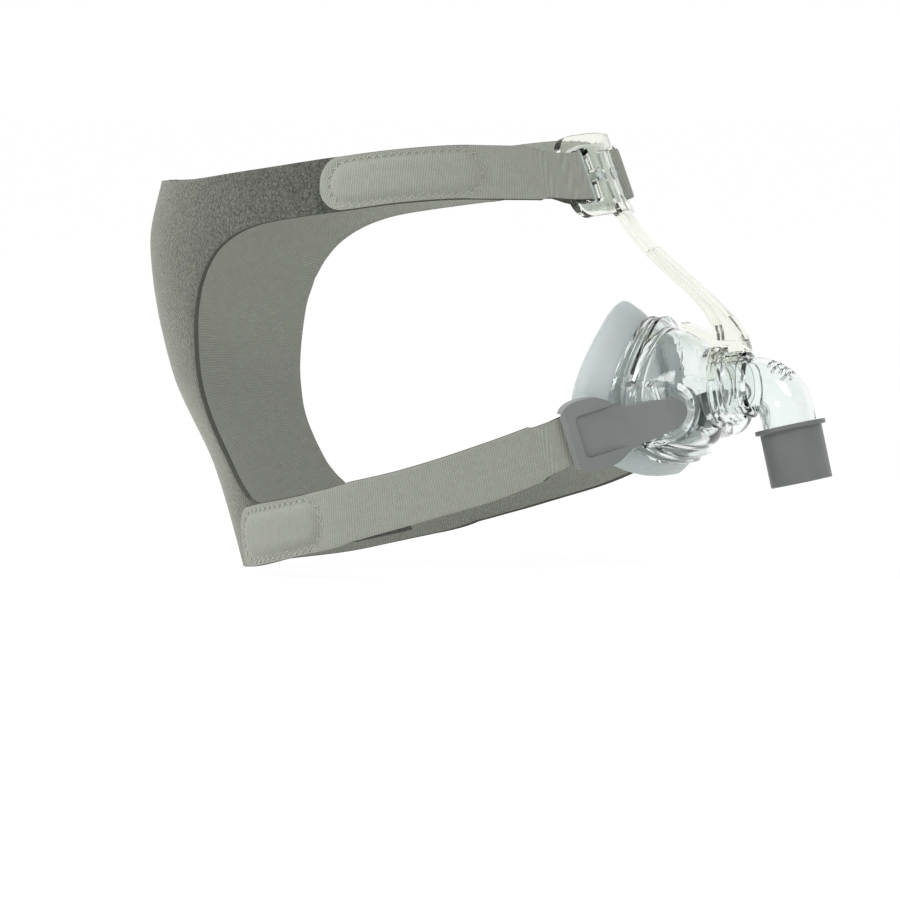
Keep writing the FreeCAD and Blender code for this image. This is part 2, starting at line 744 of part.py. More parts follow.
def arm_face():
    """Return the arm's side view."""
    front = in_middle(ARM_FRONT)
    back = in_middle(ARM_BACK)
    heel = in_middle(ARM_HEEL)
    top = Vector(-18.4, 0, 84.8)
    foot = Vector(38.6, 0, 11.0)
    low = Vector(27.0, 0, 10.0)
    return Part.Face(Part.Wire([
        smooth_edge(front),
        Part.makeLine(front[-1], foot),
        Part.makeLine(foot, low),
        Part.makeLine(low, heel[3]),
        Part.makeLine(heel[3], heel[2]),
        Part.makeLine(heel[2], heel[1]),
        Part.makeLine(heel[1], heel[0]),
        Part.makeLine(heel[0], back[-1]),
        smooth_edge(back[::-1]),
        Part.makeLine(back[0], top),
        Part.makeLine(top, front[0])]))


def brow_plate():
    """Return the curved plate with its two strap slots, in the brow frame."""
    radius = size("plate_radius")
    outer = Part.makeCylinder(radius, 60, Vector(-radius, 0, -30))
    inner = Part.makeCylinder(radius - size("plate_thickness"), 60, Vector(-radius, 0, -30))
    half = size("plate_half_width")
    top = size("plate_top")
    bottom = -size("plate_bottom")
    blank = Part.makeBox(20, 2 * half, top - bottom, Vector(-15, -half, bottom))
    uprights = [edge for edge in blank.Edges if abs(edge.Length - 20) < 0.01]
    blank = blank.makeFillet(7.5, uprights)
    plate = outer.cut(inner).common(blank)
    start = half - size("bar_width") - size("slot_width")
    for side in (1, -1):
        middle = side * (start + size("slot_width") / 2)
        slot = Part.makeBox(
            30, size("slot_width"), size("slot_height"),
            Vector(-20, middle - size("slot_width") / 2, -size("slot_height") / 2))
        slot = slot.makeFillet(2.0, [edge for edge in slot.Edges if abs(edge.Length - 30) < 0.01])
        stud = Part.makeCylinder(
            size("stud_radius") + 0.2, 30, Vector(-20, side * size("stud_spacing") / 2, 0),
            Vector(1, 0, 0))
        plate = plate.cut([slot, stud])
    plate.Placement = BROW_PLACE
    return plate


def saddle():
    """Return the open ring that hugs the port's groove from above."""
    inner = size("groove_radius") + 0.1
    outline = [
        Vector(groove_start() + 0.2, 0, inner),
        Vector(groove_end() - 0.2, 0, inner),
        Vector(groove_end() - 0.2, 0, inner + size("saddle_wall")),
        Vector(groove_start() + 0.2, 0, inner + size("saddle_wall"))]
    face = Part.Face(Part.makePolygon(outline + outline[:1]))
    wrap = size("saddle_wrap")
    face.rotate(Vector(0, 0, 0), Vector(1, 0, 0), -wrap / 2)
    ring = face.revolve(Vector(0, 0, 0), Vector(1, 0, 0), wrap)
    ring.Placement = PORT_PLACE
    return ring


def forehead_arm():
    face = arm_face()
    width = size("arm_width")
    solid = face.extrude(Vector(0, width, 0))
    solid.translate(Vector(0, -width / 2, 0))
    core = Part.Face(Part.Wire(spline_run(ARM_POCKET)))
    side = (width - size("arm_web")) / 2
    for start in (-width / 2, size("arm_web") / 2):
        pocket = core.extrude(Vector(0, side, 0))
        pocket.translate(Vector(0, start, 0))
        solid = solid.cut(pocket)
    gap = size("foot_clearance")
    over_collar = turned((
        (-30, 0),
        (-30, size("bead_radius") + gap),
        (collar_end() + gap, size("bead_radius") + gap),
        (collar_end() + gap, size("port_radius") + gap),
        (40, size("port_radius") + gap),
        (40, 0)), PORT_PLACE)
    solid = solid.cut(over_collar)
    return solid.fuse([brow_plate(), saddle()]).removeSplitter()


# Forehead pad: a soft clear block with two studs in the brow plate

def forehead_pad():
    radius = size("plate_radius") - size("plate_thickness") - size("joint_gap")
    outer = Part.makeCylinder(radius, 60, Vector(-size("plate_radius"), 0, -30))
    inner = Part.makeCylinder(
        radius - size("pad_thickness"), 60, Vector(-size("plate_radius"), 0, -30))
    half = size("pad_half_width")
    height = size("pad_height")
    blank = Part.makeBox(30, 2 * half, height, Vector(-25, -half, -height / 2))
    blank = blank.makeFillet(5.0, [edge for edge in blank.Edges if abs(edge.Length - 30) < 0.01])
    pad = outer.cut(inner).common(blank)
    pad = pad.makeFillet(1.6, [edge for edge in pad.Edges])
    for side in (1, -1):
        stud = Part.makeCylinder(
            size("stud_radius"), 6.0, Vector(-6.2, side * size("stud_spacing") / 2, 0),
            Vector(1, 0, 0))
        pad = pad.fuse(stud)
    pad.Placement = BROW_PLACE
    return pad


# Headgear: one die-cut panel of laminated fabric whose four straps fold back on themselves

# Level, back of the head, half-width and front of the fabric's inside face
HEAD_LEVELS = (
    (104.0, -175.0, 65.5, -25.0),
    (76.0, -182.0, 68.0, -15.0),
    (50.0, -187.0, 70.0, -5.0),
    (5.0, -178.0, 69.0, 18.0),
    (-30.0, -161.0, 63.0, 30.0),
    (-84.0, -145.0, 54.5, 38.0),
)


def head_quarter(level, reach, half_width):
    """Return a quarter of an ellipse on the right-hand side, from the middle plane outwards."""
    middle = size("head_middle")
    points = []
    for number in range(6):
        turn = math.pi / 2 * number / 5
        points.append(Vector(middle + reach * math.cos(turn), -half_width * math.sin(turn), level))
    curve = Part.BSplineCurve()
    curve.interpolate(
        Points=points,
        InitialTangent=Vector(0, -half_width, 0),
        FinalTangent=Vector(-reach, 0, 0))
    return curve.toShape()


def head_form(offset):
    """Return the right half of the head as the fabric lies on it, grown by a distance."""
    wires = []
    middle = size("head_middle")
    for level, back, half_width, front in HEAD_LEVELS[::-1]:
        before = front - middle + offset
        behind = middle - back + offset
        rear = head_quarter(level, -behind, half_width + offset)
        wires.append(Part.Wire([
            head_quarter(level, before, half_width + offset),
            rear.reversed(),
            Part.makeLine(
                Vector(middle - behind, 0, level), Vector(middle + before, 0, level))]))
    return Part.makeLoft(wires, True, False)


def side_prism(edges):
    """Return the solid that a side view makes across the whole head."""
    face = Part.Face(Part.Wire(edges))
    face.translate(Vector(0, -110, 0))
    return face.extrude(Vector(0, 220, 0))


PANEL_OUTLINE = (
    ((-200.0, 74.0), (-163.0, 74.6), (-131.0, 78.9), (-90.0, 84.6), (-51.4, 88.6), (-12.0, 87.6)),
    ((-5.0, 68.6), (-50.0, 69.4), (-87.5, 65.4), (-113.0, 61.9), (-130.0, 57.4),
     (-146.0, 47.6), (-153.0, 30.0), (-153.4, 3.0), (-146.0, -22.0), (-137.0, -36.5),
     (-130.5, -41.4)),
    ((-130.5, -41.4), (-95.9, -34.0), (-61.0, -24.8), (-25.0, -11.6), (-3.0, -3.2)),
    ((4.0, -20.6), (-12.0, -26.4), (-33.0, -35.6), (-69.8, -47.3), (-93.3, -54.6),
     (-130.8, -63.5), (-146.0, -65.6), (-200.0, -66.0)),
)

TOP_FLAP = (
    ((-88.0, 84.6), (-51.4, 88.4), (-12.0, 87.4)),
    ((-5.0, 68.8), (-50.0, 69.6), (-87.0, 65.6)),
    ((-87.0, 65.6), (-94.4, 68.2), (-97.0, 75.0), (-95.4, 81.6), (-88.0, 84.6)),
)

LOWER_FLAP = (
    ((-129.5, -41.0), (-95.9, -33.8), (-61.0, -24.6), (-25.0, -11.4), (-3.0, -3.0)),
    ((4.0, -20.8), (-12.0, -26.6), (-33.0, -35.8), (-69.8, -47.5), (-93.3, -54.8),
     (-130.0, -63.3)),
    ((-130.0, -63.3), (-136.4, -61.4), (-138.4, -55.0), (-136.0, -45.0), (-129.5, -41.0)),
)

TOP_TAB = (
    ((-88.0, 82.0), (-65.0, 84.6), (-43.0, 85.6)),
    ((-43.0, 85.6), (-39.4, 83.0), (-38.6, 79.0), (-39.4, 74.8), (-43.0, 72.2)),
    ((-43.0, 72.2), (-65.0, 70.8), (-87.0, 68.2)),
    ((-87.0, 68.2), (-90.8, 70.6), (-92.4, 75.0), (-91.4, 79.6), (-88.0, 82.0)),
)

LOWER_TAB = (
    ((-129.0, -43.8), (-112.0, -40.4), (-97.5, -37.2)),
    ((-97.5, -37.2), (-94.2, -40.0), (-93.4, -45.0), (-94.6, -49.6), (-98.5, -53.0)),
    ((-98.5, -53.0), (-114.0, -56.6), (-129.5, -60.4)),
    ((-129.5, -60.4), (-134.2, -58.0), (-135.6, -52.5), (-133.6, -46.2), (-129.0, -43.8)),
)


def bar_loop(half_length, thickness, place):
    """Return the fabric's fold round a bar and the solid that clears its place."""
    gap = size("joint_gap")
    fabric = size("fabric")
    width = size("strap_width")

    def stadium(grow):
        long = half_length - thickness / 2
        radius = thickness / 2 + grow
        left = Part.makeCylinder(radius, width, Vector(-long, 0, -width / 2))
        right = Part.makeCylinder(radius, width, Vector(long, 0, -width / 2))
        if long < 0.01:
            return left
        middle = Part.makeBox(
            2 * long, 2 * radius, width, Vector(-long, -radius, -width / 2))
        return left.fuse([right, middle]).removeSplitter()

    ring = stadium(gap + fabric).cut(stadium(gap))
    layers = 2 * fabric + size("tab_thickness")
    reach = half_length + gap + fabric
    yoke = Part.makeBox(
        4.2, layers, width, Vector(-reach - 3.4, -layers / 2, -width / 2)).cut(stadium(gap + 0.4))
    clear = Part.makeBox(60, 60, 60, Vector(-reach + 0.8, -30, -30))
    for solid in (ring, yoke, clear):
        solid.Placement = place
    return ring.fuse(yoke), clear


def brow_bar_frame():
    """Return the frame of the right-hand bar of the brow plate: X forwards along the strap."""
    across = size("plate_half_width") - size("bar_width") / 2
    radius = size("plate_radius")
    turn = math.degrees(math.asin(across / radius))
    centre = Vector(
        math.sqrt((radius - size("plate_thickness") / 2) ** 2 - across ** 2) - radius, -across, 0)
    local = Placement(centre, Rotation(Vector(0, 0, 1), 90 - turn))
    return BROW_PLACE.multiply(local)


def layer(inner, outer, runs):
    """Return the part of one fabric layer inside a side view."""
    return head_form(outer).cut(head_form(inner)).common(side_prism(spline_run(runs)))


def headgear():
    fabric = size("fabric")
    over = fabric + size("tab_thickness")
    round_end = size("plate_thickness") / 2 - size("bar_corner_room")
    brow_fold, brow_clear = bar_loop(
        size("bar_width") / 2 + round_end, size("plate_thickness"), brow_bar_frame())
    clip_fold, clip_clear = bar_loop(
        size("strap_bar_radius"), 2 * size("strap_bar_radius"), clip_frame(-1))
    upper_side = Part.makeBox(400, 200, 140, Vector(-300, -200, 20))
    lower_side = Part.makeBox(400, 200, 140, Vector(-300, -200, -120))
    cheeks = []
    for start in (size("strap_width") / 2, -size("strap_width") / 2 - 20):
        beside = Part.makeBox(14, 40, 20, Vector(-12, -20, start))
        beside.Placement = clip_frame(-1)
        cheeks.append(beside)
    clear = [brow_clear.common(upper_side), clip_clear.common(lower_side)] + cheeks
    panel = layer(0, fabric, PANEL_OUTLINE).cut(clear)
    top = layer(over, over + fabric, TOP_FLAP).cut(clear)
    lower = layer(over, over + fabric, LOWER_FLAP).cut(clear)
    half = panel.fuse([brow_fold, clip_fold]).fuse([top, lower])
    return half.fuse(half.mirror(Vector(0, 0, 0), Vector(0, 1, 0))).removeSplitter()


def hook_tab(runs):
    """Return the right-hand hook tab that a side view gives, between the two layers."""
    play = 0.05
    base = size("fabric")
    return layer(base + play, base + size("tab_thickness") - play, runs)


# The finished mask

add_piece("mask_frame", mask_frame())
add_piece("cushion_ring", cushion_ring())
add_piece("nasal_cushion", nasal_cushion())
add_piece("forehead_arm", forehead_arm())
add_piece("forehead_pad", forehead_pad())
add_piece("elbow", elbow())
swivel_cuff()
both_sides("clip", clip_solid(), clip_frame(-1))
add_piece("headgear", headgear())
both_sides("top_tab", hook_tab(TOP_TAB), Placement())
both_sides("lower_tab", hook_tab(LOWER_TAB), Placement())

doc.recompute()

pieces = [item for item in doc.Objects if item.TypeId in ("PartDesign::Body", "Part::Feature")]
for item in doc.Objects:
    if "Invalid" in item.State or "Error" in item.State:
        raise RuntimeError("%s failed to build: %s" % (item.Name, item.State))
for piece in pieces:
    if piece.Shape.isNull() or not piece.Shape.isValid():
        raise RuntimeError("%s has no valid shape" % piece.Label)

os.makedirs("parts", exist_ok=True)
for piece in pieces:
    print(piece.Label, len(piece.Shape.Solids), round(piece.Shape.Volume, 1))
    piece.Shape.exportStep("parts/%s.step" % piece.Label)
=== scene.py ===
import math

import bmesh
import bpy
from mathutils import Matrix, Vector


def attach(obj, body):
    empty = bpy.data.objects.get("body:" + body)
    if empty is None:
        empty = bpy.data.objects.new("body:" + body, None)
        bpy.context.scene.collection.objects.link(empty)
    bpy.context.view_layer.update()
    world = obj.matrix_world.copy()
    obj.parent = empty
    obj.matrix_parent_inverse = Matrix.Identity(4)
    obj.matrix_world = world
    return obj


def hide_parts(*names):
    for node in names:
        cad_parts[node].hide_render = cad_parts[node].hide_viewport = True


# A nasal CPAP mask as it is worn, at its real size in metres: a clear shell on a silicone
# cushion, a clear arm up to the brow, an elbow with a hose cuff, and a fabric headgear.
# X points forwards, Y to the wearer's left and Z up.
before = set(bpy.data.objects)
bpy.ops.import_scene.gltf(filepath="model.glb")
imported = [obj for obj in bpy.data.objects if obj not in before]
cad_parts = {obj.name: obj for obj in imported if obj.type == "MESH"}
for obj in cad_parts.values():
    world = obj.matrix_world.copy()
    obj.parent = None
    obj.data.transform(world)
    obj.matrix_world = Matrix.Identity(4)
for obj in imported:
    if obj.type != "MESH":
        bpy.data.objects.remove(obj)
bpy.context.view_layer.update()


# Camera: a long lens from the wearer's right, a little in front of the side and a little
# above, at the height of the nose.
side_angle = math.radians(21)
rise = math.radians(3)
camera_back = Vector((
    math.sin(side_angle) * math.cos(rise), -math.cos(side_angle) * math.cos(rise), math.sin(rise)))
camera_right = Vector((math.cos(side_angle), math.sin(side_angle), 0))
camera_up = camera_back.cross(camera_right)
frame_width = 0.324
distance = 3.0
camera = bpy.data.objects.new("camera", bpy.data.cameras.new("camera"))
bpy.context.collection.objects.link(camera)
camera.data.lens = 36 * distance / frame_width
camera.data.clip_end = 50
camera.location = camera_right * -0.0702 + camera_up * -0.0216 + camera_back * distance
camera.rotation_mode = "QUATERNION"
camera.rotation_quaternion = (-camera_back).to_track_quat("-Z", "Y")
bpy.context.scene.camera = camera


# Studio: a white floor that runs out of sight, an even white room, and two soft boxes, one
# behind the head on the left and one high in front.
def linear(code):
    """Turn an sRGB hex colour into the linear colour that a shader takes."""
    channels = [int(code[start:start + 2], 16) / 255 for start in (1, 3, 5)]
    return [c / 12.92 if c <= 0.04045 else ((c + 0.055) / 1.055) ** 2.4 for c in channels] + [1]


def add_node(tree, kind, sockets=None, **settings):
    """Add a shader node, set it up, and give each named socket a value or a link."""
    made = tree.nodes.new(kind)
    for name, value in settings.items():
        setattr(made, name, value)
    for name, value in (sockets or {}).items():
        if isinstance(value, bpy.types.NodeSocket):
            tree.links.new(value, made.inputs[name])
        else:
            made.inputs[name].default_value = value
    return made


def new_material(name):
    """Make an empty node material and return it with its tree and its output node."""
    made = bpy.data.materials.new(name)
    made.use_nodes = True
    made.node_tree.nodes.clear()
    output = made.node_tree.nodes.new("ShaderNodeOutputMaterial")
    return made, made.node_tree, output


floor_level = -0.0675
floor_mesh = bmesh.new()
bmesh.ops.create_grid(floor_mesh, x_segments=1, y_segments=1, size=12)
bmesh.ops.translate(floor_mesh, verts=floor_mesh.verts, vec=(0, 0, floor_level))
floor = bpy.data.objects.new("floor", bpy.data.meshes.new("floor"))
floor_mesh.to_mesh(floor.data)
floor_mesh.free()
bpy.context.collection.objects.link(floor)

floor_paper, tree, output = new_material("white_paper_floor")
paper = add_node(tree, "ShaderNodeBsdfDiffuse", {"Color": linear("#f4f4f2")})
glow = add_node(tree, "ShaderNodeEmission", {"Color": linear("#ffffff"), "Strength": 1.08})
rays = add_node(tree, "ShaderNodeLightPath")
seen = add_node(tree, "ShaderNodeMath", {
    0: rays.outputs["Is Camera Ray"], 1: rays.outputs["Is Glossy Ray"]}, operation="MAXIMUM")
seen = add_node(tree, "ShaderNodeMath", {
    0: seen.outputs[0], 1: rays.outputs["Is Transmission Ray"]}, operation="MAXIMUM")
share = add_node(tree, "ShaderNodeMath", {0: seen.outputs[0], 1: 0.85}, operation="MULTIPLY")
mix = add_node(tree, "ShaderNodeMixShader", {
    0: share.outputs[0], 1: paper.outputs[0], 2: glow.outputs[0]})
tree.links.new(mix.outputs[0], output.inputs["Surface"])
floor.data.materials.append(floor_paper)

world = bpy.data.worlds.new("white_room")
bpy.context.scene.world = world
world.use_nodes = True
tree = world.node_tree
tree.nodes.clear()
output = tree.nodes.new("ShaderNodeOutputWorld")
rays = add_node(tree, "ShaderNodeLightPath")
room = add_node(tree, "ShaderNodeBackground", {"Color": linear("#f6f8fa"), "Strength": 0.62})
white = add_node(tree, "ShaderNodeBackground", {"Color": linear("#ffffff"), "Strength": 1.0})
seen = add_node(tree, "ShaderNodeMath", {
    0: rays.outputs["Is Camera Ray"], 1: rays.outputs["Is Glossy Ray"]}, operation="MAXIMUM")
seen = add_node(tree, "ShaderNodeMath", {
    0: seen.outputs[0], 1: rays.outputs["Is Transmission Ray"]}, operation="MAXIMUM")
mix = add_node(tree, "ShaderNodeMixShader", {
    0: seen.outputs[0], 1: room.outputs[0], 2: white.outputs[0]})
tree.links.new(mix.outputs[0], output.inputs["Surface"])

for name, place, aim, width, power in (
        ("softbox_behind", (-1.25, -0.75, 0.85), (-0.08, 0, 0.02), 0.9, 17),
        ("softbox_front", (0.95, -1.05, 1.15), (0.0, 0, 0.02), 0.7, 9)):
    lamp = bpy.data.objects.new(name, bpy.data.lights.new(name, "AREA"))
    bpy.context.collection.objects.link(lamp)
    lamp.data.size = width
    lamp.data.energy = power
    lamp.location = place
    lamp.rotation_mode = "QUATERNION"
    lamp.rotation_quaternion = (Vector(aim) - Vector(place)).to_track_quat("-Z", "Y")

bpy.context.scene.view_settings.view_transform = "Standard"


# Headgear: one die-cut panel of knit laminated on thin foam. Its outside is brushed to a dark
# loop pile. Four straps run from it; each goes round a bar and folds back on itself, so that
# the pale knit of the inside shows on the folded end. Its hook tab is sewn under a puffed oval.
MM = 0.001
head_middle = -88.0
# Level, back, half-width and front of the head under the fabric, in millimetres
head_rows = (
    (-84.0, -145.0, 54.5, 38.0),
    (-30.0, -161.0, 63.0, 30.0),
    (5.0, -178.0, 69.0, 18.0),
    (50.0, -187.0, 70.0, -5.0),
    (76.0, -182.0, 68.0, -15.0),
    (104.0, -175.0, 65.5, -25.0))
fabric = 1.8
under_offset = fabric / 2
over_offset = 3.7


def between(rows, place):
    """Return the values at a place on the smooth curve through rows that start with theirs."""
    last = len(rows) - 1
    here = max(0, min(last - 1, sum(row[0] <= place for row in rows) - 1))
    low = rows[here]
    high = rows[here + 1]
    span = high[0] - low[0]
    share = (place - low[0]) / span
    values = []
    for column in range(1, len(low)):
        slopes = []
        for number in (here, here + 1):
            before = rows[max(0, number - 1)]
            after = rows[min(last, number + 1)]
            slopes.append((after[column] - before[column]) / (after[0] - before[0]) * span)
        values.append(
            low[column] * (2 * share ** 3 - 3 * share ** 2 + 1)
            + slopes[0] * (share ** 3 - 2 * share ** 2 + share)
            + high[column] * (3 * share ** 2 - 2 * share ** 3)
            + slopes[1] * (share ** 3 - share ** 2))
    return values


def on_head(turn, level, offset):
    """Return a point on the head's right side, by its turn from the front and its level."""
    back, half_width, front = between(head_rows, level)
    turn = min(turn, math.pi)
    reach = (front - head_middle if math.cos(turn) > 0 else head_middle - back) + offset
    return Vector((
        head_middle + reach * math.cos(turn), -(half_width + offset) * math.sin(turn), level))


def turn_at(forward, level, offset):
    """Return how far round the head a point of the side view lies."""
    back, half_width, front = between(head_rows, level)
    reach = (front - head_middle if forward > head_middle else head_middle - back) + offset
    return math.acos(max(-1, min(1, (forward - head_middle) / reach)))


def band_rows(pairs, offset):
    """Turn pairs of edge points in the side view into rows that start with their distance."""
    rows = []
    place = 0
    before = None
    for window, outside in pairs:
        turns = [turn_at(forward, level, offset) for forward, level in (window, outside)]
        middle = on_head(sum(turns) / 2, (window[1] + outside[1]) / 2, offset)
        if before is not None:
            place += (middle - before).length
        before = middle
        rows.append((place, turns[0], window[1], turns[1], outside[1]))
    return rows


def on_band(rows, place, across, offset):
    """Return a point of a strap, by its distance along it and its share across it."""
    near_turn, near_level, far_turn, far_level = between(rows, place)
    return on_head(
        near_turn + (far_turn - near_turn) * across,
        near_level + (far_level - near_level) * across, offset)


# Pairs of edge points, the window's side first: the panel from the brow bar round the back to
# the clip bar, and the two folded ends from their round tips forwards.
panel_rows = band_rows((
    ((-21.0, 69.0), (-28.0, 87.8)),
    ((-36.0, 69.3), (-40.0, 88.4)),
    ((-50.0, 69.4), (-52.0, 88.6)),
    ((-68.0, 68.0), (-70.0, 87.2)),
    ((-87.5, 65.4), (-90.0, 84.6)),
    ((-113.0, 61.9), (-118.0, 80.6)),
    ((-124.0, 59.7), (-134.0, 78.4)),
    ((-133.6, 56.0), (-152.0, 75.9)),
    ((-141.4, 50.6), (-169.0, 74.6)),
    ((-147.0, 43.6), (-182.0, 74.1)),
    ((-149.6, 38.3), (-183.0, 74.0)),
    ((-150.4, 36.6), (-200.0, 74.0)),
    ((-150.7, 35.2), (-200.0, 71.5)),
    ((-152.6, 28.0), (-200.0, 58.0)),
    ((-153.6, 18.0), (-200.0, 39.0)),
    ((-153.8, 8.0), (-200.0, 20.0)),
    ((-152.6, -3.0), (-200.0, 2.0)),
    ((-150.0, -13.0), (-200.0, -16.0)),
    ((-146.0, -22.0), (-200.0, -34.0)),
    ((-141.6, -30.4), (-200.0, -51.0)),
    ((-138.4, -35.0), (-200.0, -63.0)),
    ((-137.4, -36.2), (-200.0, -65.6)),
    ((-136.2, -37.4), (-151.0, -65.6)),
    ((-133.6, -39.8), (-148.0, -65.6)),
    ((-126.0, -40.9), (-132.0, -63.8)),
    ((-113.0, -38.0), (-112.0, -59.2)),
    ((-95.9, -34.0), (-93.3, -54.6)),
    ((-78.0, -29.4), (-74.5, -48.8)),
    ((-61.0, -24.8), (-56.0, -43.4)),
    ((-40.0, -17.8), (-35.0, -37.0)),
    ((-19.2, -9.6), (-14.3, -28.2))), under_offset)
top_end_rows = band_rows((
    ((-97.0, 65.0), (-97.0, 84.0)),
    ((-87.0, 65.6), (-88.0, 84.8)),
    ((-68.0, 68.2), (-69.5, 87.2)),
    ((-50.0, 69.6), (-51.4, 88.6)),
    ((-35.0, 69.5), (-38.0, 88.4)),
    ((-21.0, 69.0), (-28.0, 87.8))), over_offset)
lower_end_rows = band_rows((
    ((-137.6, -43.2), (-139.0, -64.4)),
    ((-129.5, -41.0), (-130.0, -63.3)),
    ((-113.0, -37.8), (-112.0, -59.3)),
    ((-95.9, -33.8), (-93.3, -54.8)),
    ((-78.0, -29.2), (-74.5, -49.0)),
    ((-61.0, -24.6), (-56.0, -43.6)),
    ((-40.0, -17.6), (-35.0, -37.2)),
    ((-19.2, -9.4), (-14.3, -28.4))), over_offset)

# Each sewn oval: its strap, the radius of the strap's tip, and the oval's start, length,
# half-width and corner radius
top_oval = (top_end_rows, 8.6, 4.4, 54.0, 7.0, 6.8)
lower_oval = (lower_end_rows, 5.6, 3.4, 40.0, 7.0, 5.4)


def oval_distance(oval, place, across):
    """Return how far outside a sewn oval a point of its strap lies, in millimetres."""
    rows, tip, start, length, half_width, corner = oval
    along = abs(place - start - length / 2) - (length / 2 - corner)
    beside = abs(across) - (half_width - corner)
    outside = math.hypot(max(along, 0), max(beside, 0))
    return outside + min(max(along, beside), 0) - corner


def end_point(oval, place, share, lift=0):
    """Return a point of a folded strap end, with its round tip and its puffed oval."""
    rows, tip, *_ = oval
    half = 9.6
    reach = half
    if place < tip:
        reach = half - tip + math.sqrt(max(0, tip ** 2 - (tip - place) ** 2))
    across = (share - 0.5) * 2 * reach
    gap = oval_distance(oval, place, across)
    puff = max(0, min(1, -gap / 2.6))
    raised = 1.15 * puff * puff * (3 - 2 * puff) - 0.45 * math.exp(-((gap - 0.5) / 1.1) ** 2)
    return on_band(rows, place, 0.5 + across / (2 * half), over_offset + raised + lift)


# Middle, forward, outward and upward directions of the bars that the straps go round, with the
# half-length of the flat and the radius of the fold
brow_bar = (
    Vector((-18.97, -24.25, 76.26)), Vector((0.285, 0.953, 0.104)),
    Vector((0.8955, -0.303, 0.326)), Vector((-0.342, 0, 0.940)), 3.35, 2.45)
clip_bar = (
    Vector((-9.3, -49.4, -15.3)), Vector((0.828, 0.478, 0.292)),
    Vector((0.5, -0.866, 0)), Vector((-0.253, -0.146, 0.956)), 0.0, 2.6)


def fold_stations(bar, outwards):
    """Return the middle line of the fold round a bar, from outside to inside or back."""
    middle, forward, outward, upward, flat, radius = bar
    line = [(-4.6, 1.85), (-2.4 - flat * 0.4, radius)]
    for step in range(11):
        angle = math.pi / 2 - math.pi * step / 10
        line.append((flat + radius * math.cos(angle), radius * math.sin(angle)))
    line += [(-2.4 - flat * 0.4, -radius), (-4.6, -1.85)]
    if outwards:
        line.reverse()
    return [middle + forward * along + outward * out for along, out in line]


def spaced(start, stop, step):
    """Return even places from start to stop, about a step apart."""
    count = max(1, round(abs(stop - start) / step))
    return [start + (stop - start) * number / count for number in range(count + 1)]


across_count = 17
shares = [number / (across_count - 1) for number in range(across_count)]
stations = []
tip_places = [0.04, 0.3, 0.8, 1.5, 2.4, 3.4, 4.4]
for place in tip_places + spaced(5.5, top_end_rows[-1][0], 1.3):
    stations.append([end_point(top_oval, place, share) for share in shares])
first_fold = len(stations)
for point in fold_stations(brow_bar, False):
    stations.append([point + brow_bar[3] * 19 * (share - 0.5) for share in shares])
panel_start = len(stations)
for place in spaced(0, panel_rows[-1][0], 1.9):
    stations.append([on_band(panel_rows, place, share, under_offset) for share in shares])
second_fold = len(stations)
for point in fold_stations(clip_bar, True):
    stations.append([point + clip_bar[3] * 19 * (0.5 - share) for share in shares])
lower_start = len(stations)
for place in (spaced(lower_end_rows[-1][0], 5.5, 1.3) + tip_places[::-1]):
    stations.append([end_point(lower_oval, place, share) for share in shares])

cloth = bmesh.new()
last_station = len(stations) - 1
bmesh.ops.create_grid(cloth, x_segments=last_station, y_segments=across_count - 1, size=1)
weave_map = cloth.loops.layers.uv.new("cloth")
along_strap = [0]
for before, after in zip(stations, stations[1:]):
    along_strap.append(along_strap[-1] + (after[8] - before[8]).length)
seats = {}
for vertex in cloth.verts:
    station = round((vertex.co.x + 1) / 2 * last_station)
    row = round((vertex.co.y + 1) / 2 * (across_count - 1))
    seats[vertex] = (station, row)
for face in cloth.faces:
    for loop in face.loops:
        station, row = seats[loop.vert]
        middle = stations[station][8]
        beside = (stations[station][row] - middle).length * (1 if row > 8 else -1)
        loop[weave_map].uv = (along_strap[station] * MM * 10, beside * MM * 10)
joins = []
for vertex, (station, row) in seats.items():
    vertex.co = stations[station][row] * MM
    if min(abs(station - join) for join in (
            first_fold, panel_start, second_fold, lower_start)) < 4:
        joins.append(vertex)
for _ in range(6):
    bmesh.ops.smooth_vert(
        cloth, verts=joins, factor=0.5, use_axis_x=True, use_axis_y=True, use_axis_z=True)
bmesh.ops.mirror(
    cloth, geom=cloth.verts[:] + cloth.edges[:] + cloth.faces[:], axis="Y", merge_dist=2e-5,
    mirror_u=False, mirror_v=False)
bmesh.ops.remove_doubles(cloth, verts=cloth.verts, dist=2e-5)
bmesh.ops.recalc_face_normals(cloth, faces=cloth.faces)
cloth.faces.ensure_lookup_table()
behind = max(cloth.faces, key=lambda face: -face.calc_center_median().x)
if behind.normal.x > 0:
    bmesh.ops.reverse_faces(cloth, faces=cloth.faces)
for face in cloth.faces:
    face.smooth = True
headgear = bpy.data.objects.new("worn_headgear", bpy.data.meshes.new("worn_headgear"))
cloth.to_mesh(headgear.data)
cloth.free()
bpy.context.collection.objects.link(headgear)
thick = headgear.modifiers.new("laminate", "SOLIDIFY")
thick.thickness = fabric * MM
thick.offset = 0
thick.use_even_offset = True
thick.material_offset = 1
thick.material_offset_rim = 2
rounding = headgear.modifiers.new("cut_edge", "BEVEL")
rounding.limit_method = "ANGLE"
rounding.angle_limit = math.radians(60)
rounding.width = 0.35 * MM
rounding.segments = 2

